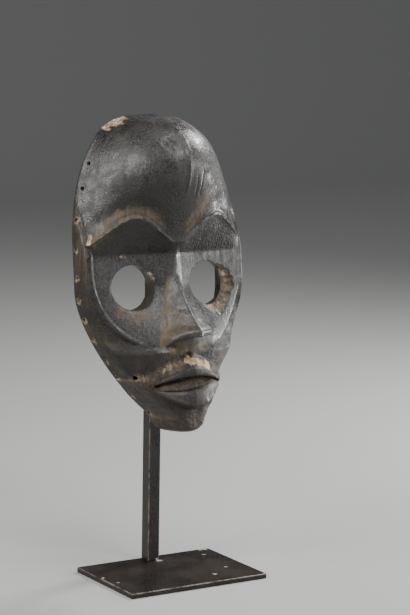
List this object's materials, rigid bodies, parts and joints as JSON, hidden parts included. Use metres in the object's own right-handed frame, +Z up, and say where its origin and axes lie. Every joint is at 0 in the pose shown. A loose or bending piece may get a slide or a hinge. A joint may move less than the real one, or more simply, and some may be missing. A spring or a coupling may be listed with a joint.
{
  "type": "carved wooden face mask on a display stand",
  "caption": "Dark patinated wooden face mask with round eye holes, a long nose, full lips and a hollow back, held by a square metal upright on a flat rectangular foot",
  "frame": {"origin": "centre of the foot plate's underside", "axes": "+Z up; the face looks along -Y; +X is to the right of someone who faces the mask"},
  "size_m": [0.1426, 0.0866, 0.3556],
  "materials": {
    "carved_wood": "dark brown to black patina with a waxed grey sheen, browner and rougher in the recesses and round the jaw",
    "dark_bronze": "dark brown bronze-coloured satin paint with a few worn edges and chips"
  },
  "bodies": {
    "root": {"mask": "carved_wood", "base_plate": "dark_bronze", "post": "dark_bronze", "chin_stay": "dark_bronze"}
  },
  "joints": []
}
